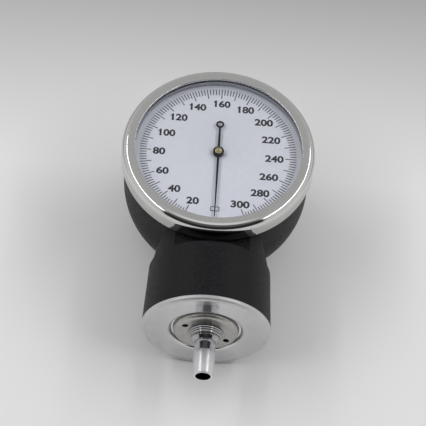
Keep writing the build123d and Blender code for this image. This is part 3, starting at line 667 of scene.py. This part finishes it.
def numeral(reading, place):
    """One bold upright number, set to the scale's digit height and width."""
    bpy.ops.object.select_all(action="DESELECT")
    bpy.ops.object.text_add(location=(0, 0, 0))
    words = bpy.context.object
    words.data.body = str(reading)
    words.data.size = NUMERAL_H * MM
    words.data.resolution_u = 6
    words.data.align_x = "CENTER"
    words.data.align_y = "CENTER"
    words.data.extrude = PRINT_T * MM / 2
    words.data.offset = NUMERAL_BOLD * MM
    bpy.ops.object.convert(target="MESH")
    piece = named(f"numeral_{reading}")
    grow = NUMERAL_H * MM / piece.dimensions.y
    settle(piece, size=(grow, grow, 1))
    starts_with_one = 100 <= reading < 200
    if starts_with_one:
        flag_one(piece)
    want = DIGIT_W * len(str(reading)) - ONE_NARROWER * starts_with_one
    settle(piece, size=(want * MM / piece.dimensions.x, 1, 1))
    across = place[0] - sum(limits(piece, 0)) / 2
    up = place[1] - sum(limits(piece, 1)) / 2
    settle(piece, (across, up, DIAL_FACE + PRINT_T / 2))
    fit(piece, dial_ink, None)


BOX_W = 3.05
BOX_H = 1.85
BOX_DROP = 22.7
BOX_CORNER = 0.25
BOX_LINE = 0.26


def zero_box():
    """Outlined box at the zero of the scale."""
    piece = leaf("zero_box", BOX_W, BOX_H, (0, -BOX_DROP, DIAL_FACE))
    bpy.ops.object.mode_set(mode="EDIT")
    bpy.ops.mesh.select_mode(type="VERT")
    bpy.ops.mesh.select_all(action="SELECT")
    bpy.ops.mesh.bevel(offset=BOX_CORNER * MM, segments=3, affect="VERTICES")
    bpy.ops.mesh.select_mode(type="FACE")
    bpy.ops.mesh.select_all(action="SELECT")
    bpy.ops.mesh.inset(thickness=BOX_LINE * MM)
    bpy.ops.mesh.delete(type="FACE")
    thicken(PRINT_T)
    bpy.ops.object.mode_set(mode="OBJECT")
    fit(piece, dial_ink, None)


def printing():
    """Scale marks, numbers and the zero box."""
    strokes("fine_marks", SCALE_R, FINE_MARK_L, FINE_STEP)
    strokes("long_marks", SCALE_R - FINE_MARK_L - LONG_MARK_GAP, LONG_MARK_L, LONG_STEP)
    for reading, place in NUMERALS.items():
        numeral(reading, place)
    zero_box()


# Pointer

HAND_REACH = 26.3
TAIL_REACH = 10.6
HAND_W = 0.86
TIP_W = 0.35
TAIL_W = 0.62
HAND_T = 0.3
HAND_FACE_LOW = (HAND_LOW + HAND_HIGH) / 2 - HAND_T / 2
EYE_Y = 11.4
EYE_R = 1.4
EYE_HOLE_R = 0.8
HUB_R = 1.85
HUB_BORE_R = 1.26
HUB_LOW = HAND_LOW - 0.4


def blade():
    """Flat hand, widest at the hub and narrowed towards its tip and its tail."""
    length = HAND_REACH + TAIL_REACH
    hand = leaf("pointer_hand", HAND_W, length, (0, TAIL_REACH - length / 2, HAND_FACE_LOW))
    bpy.ops.object.mode_set(mode="EDIT")
    bpy.ops.mesh.select_mode(type="VERT")
    bpy.ops.mesh.select_all(action="SELECT")
    bpy.ops.mesh.bisect(plane_co=(0, 0, 0), plane_no=(0, 1, 0))
    for end, width in ((-HAND_REACH, TIP_W), (TAIL_REACH, TAIL_W)):
        mesh = bmesh.from_edit_mesh(hand.data)
        for vert in mesh.verts:
            vert.select = abs(vert.co.y / MM - end) < EDGE_FOUND
        mesh.select_flush_mode()
        bmesh.update_edit_mesh(hand.data)
        bpy.ops.transform.resize(
            value=(width / HAND_W, 1, 1), center_override=(0, end * MM, HAND_FACE_LOW * MM)
        )
    thicken(HAND_T)
    bpy.ops.object.mode_set(mode="OBJECT")
    return hand


def eye():
    """Ring at the hand's tail."""
    high = HAND_FACE_LOW + HAND_T
    rings = [(EYE_HOLE_R, HAND_FACE_LOW), (EYE_R, HAND_FACE_LOW), (EYE_R, high), (EYE_HOLE_R, high)]
    piece = turn("eye", rings, EYE_STEPS)
    round_rings(piece, [(EYE_HOLE_R, high), (EYE_R, high)], width=0.08, segments=2)
    settle(piece, (0, EYE_Y, 0))
    return piece


def hub():
    """Round hub, and the bore that it needs in the hand."""
    rings = [(HUB_BORE_R, HUB_LOW), (HUB_R, HUB_LOW), (HUB_R, HAND_HIGH), (HUB_BORE_R, HAND_HIGH)]
    past = 0.1
    low, high = HUB_LOW - past, HAND_HIGH + past
    bore_rings = [(HUB_BORE_R, low), (HUB_BORE_R, high), (ON_AXIS, high), (ON_AXIS, low)]
    return turn("hub", rings, SMALL_STEPS), turn("bore", bore_rings, SMALL_STEPS)


def pointer():
    """Tapered hand with an eye at its tail and a turned hub."""
    hand = blade()
    combine(hand, eye(), "UNION")
    round_hub, bore = hub()
    combine(hand, bore, "DIFFERENCE")
    combine(hand, round_hub, "UNION")
    wear_off_edges(hand, width=0.04)
    smooth(hand)
    fit(hand, pointer_black, "pointer", "pointer_spindle")


def collet():
    """Brass collet in the hub, with a small dimple over the arbor."""
    collet_r = 1.25
    bore_r = 0.9
    bore_end = COLLET_TOP - 0.4
    dimple_r = 0.7
    dimple_floor_r = 0.25
    dimple_low = COLLET_TOP - 0.3
    rings = [
        (bore_r, COLLET_LOW),
        (collet_r, COLLET_LOW),
        (collet_r, COLLET_TOP),
        (dimple_r, COLLET_TOP),
        (dimple_floor_r, dimple_low),
        (ON_AXIS, dimple_low),
        (ON_AXIS, bore_end),
        (bore_r, bore_end),
    ]
    piece = turn("pointer_bush", rings, SMALL_STEPS)
    round_rings(piece, [(collet_r, COLLET_TOP)], width=0.12, segments=3)
    smooth(piece)
    fit(piece, collet_brass, "pointer_collet", "pointer_spindle")


# Flange, disc, boss and nozzle

def flange():
    """Polished cap: a rolled edge, a face set a little back, and a stepped recess."""
    bore_r = 5.05
    spigot_r = 18.15
    rim_back = FLANGE_FRONT - 1.7
    bead_r = FLANGE_R - 1.35
    face = FLANGE_FRONT - 0.12
    mouth_r = 12.6
    throat_r = 11.95
    floor_r = 11.15
    slope_end = face - 0.8
    ledge = face - 1.3
    rings = [
        (bore_r, FLANGE_BACK),
        (spigot_r, FLANGE_BACK),
        (spigot_r, rim_back),
        (FLANGE_R, rim_back),
        (FLANGE_R, FLANGE_FRONT),
        (bead_r, FLANGE_FRONT),
        (bead_r - 0.08, face),
        (mouth_r, face),
        (throat_r, slope_end),
        (throat_r, ledge),
        (floor_r, ledge),
        (floor_r, DISC_BACK),
        (bore_r, DISC_BACK),
    ]
    piece = turn("flange_cap", rings)
    round_rings(piece, [(FLANGE_R, FLANGE_FRONT)], width=FLANGE_ROLL, segments=7)
    round_rings(piece, [(mouth_r, face), (throat_r, slope_end)], width=0.5, segments=5)
    round_rings(piece, [(FLANGE_R, rim_back)], width=0.15, segments=2)
    smooth(piece)
    lay_along_grip(piece)
    fit(piece, flange_chrome, "end_flange")


def disc():
    """Nickel disc with a raised, rounded rim and two spanner holes."""
    rim_inner_r = DISC_R - 1.8
    face_r = DISC_R - 2.8
    hole_depth = 1.1
    drill_point = 0.1
    rings = [
        (DISC_BORE_R, DISC_BACK),
        (DISC_R, DISC_BACK),
        (DISC_R, DISC_RIM),
        (rim_inner_r, DISC_RIM),
        (face_r, DISC_FACE),
        (DISC_BORE_R, DISC_FACE),
    ]
    piece = turn("lock_plate", rings)
    round_rings(piece, [(DISC_R, DISC_RIM)], width=1.5, segments=8)
    above = DISC_FACE + 0.5
    hole_rings = [
        (HOLE_R, above),
        (HOLE_R, DISC_FACE - hole_depth),
        (ON_AXIS, DISC_FACE - hole_depth - drill_point),
        (ON_AXIS, above),
    ]
    for angle in (radians(150), radians(330)):
        hole = turn("hole", hole_rings, HOLE_STEPS)
        settle(hole, (HOLE_RING_R * cos(angle), HOLE_RING_R * sin(angle), 0))
        combine(piece, hole, "DIFFERENCE")
    smooth(piece)
    lay_along_grip(piece)
    fit(piece, disc_nickel, "lock_disc")


RIBS = 3
RIB_STEP = 0.3
# Share of a rib's length, and how far its surface lies below its crest there
RIB_PROFILE = (
    (0.04, 0.5), (0.15, 0.22), (0.32, 0.05), (0.5, 0.0), (0.68, 0.05), (0.85, 0.22), (0.96, 0.5),
)


def boss():
    """Turned nut: three rounded ribs, each smaller than the last, and a taper to the stem."""
    taper_back = BOSS_FRONT - TAPER_LENGTH
    stem_bore_r = 3.51
    collar_r = 4.9
    collar_back = taper_back + 0.15
    collar_front = taper_back + 0.9
    cone_end_r = 4.2
    cone_end = BOSS_FRONT - 0.3
    front_r = 4.0
    rings = [
        (stem_bore_r, BOSS_FRONT),
        (stem_bore_r, taper_back),
        (DISC_BORE_R, taper_back),
        (DISC_BORE_R, DISC_FACE),
    ]
    pitch = (taper_back - DISC_FACE) / RIBS
    for rib in range(RIBS):
        crest_r = BOSS_R - RIB_STEP * rib
        for share, drop in RIB_PROFILE:
            rings.append((crest_r - drop, DISC_FACE + pitch * (rib + share)))
    rings += [
        (collar_r, collar_back),
        (collar_r, collar_front),
        (cone_end_r, cone_end),
        (front_r, BOSS_FRONT),
    ]
    piece = turn("boss", rings, SMALL_STEPS)
    wear_off_edges(piece, width=0.05)
    smooth(piece)
    lay_along_grip(piece)
    fit(piece, boss_chrome, "boss_nut")


def stem():
    """Body of the hose fitting, of which the stem behind the nozzle shows."""
    bore_r = 0.9
    barb_r = 1.5
    shoulder_r = 8.0
    body_r = 5.0
    stem_r = 3.5
    spigot_r = 2.89
    shoulder_back = FITTING_BACK + 6.0
    shoulder_front = FITTING_BACK + 8.0
    body_end = BOSS_FRONT - TAPER_LENGTH
    rings = [
        (bore_r, FITTING_FRONT),
        (bore_r, FITTING_BACK),
        (barb_r, FITTING_BACK),
        (barb_r, shoulder_back),
        (shoulder_r, shoulder_back),
        (shoulder_r, shoulder_front),
        (body_r, shoulder_front),
        (body_r, body_end),
        (stem_r, body_end),
        (stem_r, NOZZLE_BACK),
        (spigot_r, NOZZLE_BACK),
        (spigot_r, FITTING_FRONT),
    ]
    piece = turn("hose_fitting", rings, SMALL_STEPS)
    smooth(piece)
    lay_along_grip(piece)
    fit(piece, stem_chrome, "inlet_body")


def nozzle():
    """Tapered nozzle with an open bore and eased ends."""
    back_r = 3.85
    tip_r = 3.28
    socket_r = 2.9
    socket_end = NOZZLE_BACK + 3.0
    rings = [
        (socket_r, NOZZLE_BACK),
        (back_r, NOZZLE_BACK),
        (tip_r, NOZZLE_TIP),
        (NOZZLE_BORE_R, NOZZLE_TIP),
        (NOZZLE_BORE_R, socket_end),
        (socket_r, socket_end),
    ]
    piece = turn("nozzle", rings, SMALL_STEPS)
    round_rings(piece, [(back_r, NOZZLE_BACK)], width=0.35)
    round_rings(piece, [(tip_r, NOZZLE_TIP)], width=0.3)
    round_rings(piece, [(NOZZLE_BORE_R, NOZZLE_TIP)], width=0.1, segments=2)
    smooth(piece)
    lay_along_grip(piece)
    fit(piece, nozzle_nickel, "hose_nozzle")


# Studio

def studio_floor():
    """Pale ground that the gauge lies on, with painted light: lighter towards the camera and near the
    gauge, darker far behind it.
    """
    ground = leaf("ground", wide=6000, deep=4400, place=(0, 1800, -0.2))
    finish, tree, main = shader("ground_paper")
    # Painted light: the ground's colour doubles from far behind the gauge to near it.
    nearness = between(tree, places(tree)["Y"], low=0.0, high=1.0, start=110 * MM, end=20 * MM)
    paint = shades(
        tree, nearness, dark=(0.42, 0.42, 0.42), light=(0.84, 0.84, 0.84), start=0.0, end=1.0
    )
    tree.links.new(paint, main.inputs["Base Color"])
    main.inputs["Roughness"].default_value = 0.9
    main.inputs["Specular IOR Level"].default_value = 0.1
    ground.data.materials.append(finish)


# Lamps and camera alone are placed in metres.
LAMP_X = 0.6
LAMP_Y = 0.15
LAMP_Z = 0.75
LAMP_L = 1.1
TUBE_W = 0.06
TUBE_POWER = 1.3
SOFTBOX_W = 0.4
SOFTBOX_POWER = 2.15
CAMERA_PLACE = (-0.0109, -0.3837, 0.5961)
CAMERA_ANGLES = (radians(32.829), radians(-3.0737), radians(3.0932))
CAMERA_LENS = 167.0


def lamp(name, side, width, power, mirrored):
    """Long lamp, level along the grip and tipped towards the gauge; metal shows it if mirrored."""
    data = bpy.data.lights.new(name, "AREA")
    data.shape = "RECTANGLE"
    data.size = LAMP_L
    data.size_y = width
    data.energy = power
    light = bpy.data.objects.new(name, data)
    bpy.context.scene.collection.objects.link(light)
    light.location = (side * LAMP_X, LAMP_Y, LAMP_Z)
    light.visible_glossy = mirrored
    aim = Vector((-side * LAMP_X, 0, -LAMP_Z))
    light.rotation_euler = aim.to_track_quat("-Z", "Y").to_euler()


def tent():
    """Grey cloth all round, open and dark towards the camera, with a pale band at the horizon."""
    world = bpy.data.worlds.new("studio_tent")
    bpy.context.scene.world = world
    world.use_nodes = True
    tree = world.node_tree
    look = places(tree, "Generated")
    sideways = reckon(tree, "ABSOLUTE", look["X"])
    forward = reckon(tree, "MULTIPLY", look["Y"], -1.0)

    flare = between(tree, look["Z"], low=0.95, high=0.5, start=0.0, end=0.9)
    within_sides = reckon(tree, "SUBTRACT", forward, reckon(tree, "MULTIPLY", sideways, flare))
    under_roof = reckon(tree, "SUBTRACT", forward, reckon(tree, "MULTIPLY", look["Z"], 0.25))
    opening = reckon(tree, "MINIMUM", within_sides, under_roof)
    shut = between(tree, opening, low=1.0, high=0.0, start=0.0, end=0.08)

    sideways_squared = reckon(tree, "MULTIPLY", sideways, sideways)
    walls = between(tree, sideways_squared, low=0.47, high=0.72, start=0.0, end=1.0)
    roof = between(tree, look["Z"], low=0.0, high=0.35, start=0.95, end=0.98)
    cloth = reckon(tree, "MULTIPLY", reckon(tree, "ADD", walls, roof), shut)
    beyond = between(tree, look["Z"], low=0.025, high=0.13, start=0.65, end=0.82)
    tent_level = reckon(tree, "MAXIMUM", cloth, beyond)

    rays = tree.nodes.new("ShaderNodeLightPath").outputs
    seen = reckon(tree, "MAXIMUM", rays["Is Camera Ray"], rays["Is Transmission Ray"])
    seen = reckon(tree, "MAXIMUM", seen, rays["Is Glossy Ray"])
    horizon = between(tree, look["Z"], low=0.72, high=0.0, start=0.12, end=0.22)
    backdrop = reckon(tree, "MULTIPLY", seen, horizon)

    background = tree.nodes["Background"].inputs
    background["Color"].default_value = (1, 1, 1, 1)
    tree.links.new(reckon(tree, "MAXIMUM", tent_level, backdrop), background["Strength"])


def studio():
    """Floor, a tube lamp and a softbox on each side, and a grey tent."""
    studio_floor()
    sides = {"left": -1, "right": 1}
    for side_name, side in sides.items():
        lamp(f"{side_name}_tube", side, TUBE_W, TUBE_POWER, mirrored=True)
    for side_name, side in sides.items():
        lamp(f"{side_name}_softbox", side, SOFTBOX_W, SOFTBOX_POWER, mirrored=False)
    tent()


def camera():
    """Camera above and in front of the dial, as in the photograph."""
    data = bpy.data.cameras.new("camera")
    data.sensor_width = 36
    data.lens = CAMERA_LENS
    data.clip_start = 0.05
    view = bpy.data.objects.new("camera", data)
    bpy.context.scene.collection.objects.link(view)
    view.location = CAMERA_PLACE
    view.rotation_euler = CAMERA_ANGLES
    bpy.context.scene.camera = view
    bpy.context.scene.view_settings.view_transform = "Standard"


bezel()
inner_ring()
dial()
printing()
pointer()
collet()
flange()
disc()
boss()
stem()
nozzle()
studio()
camera()
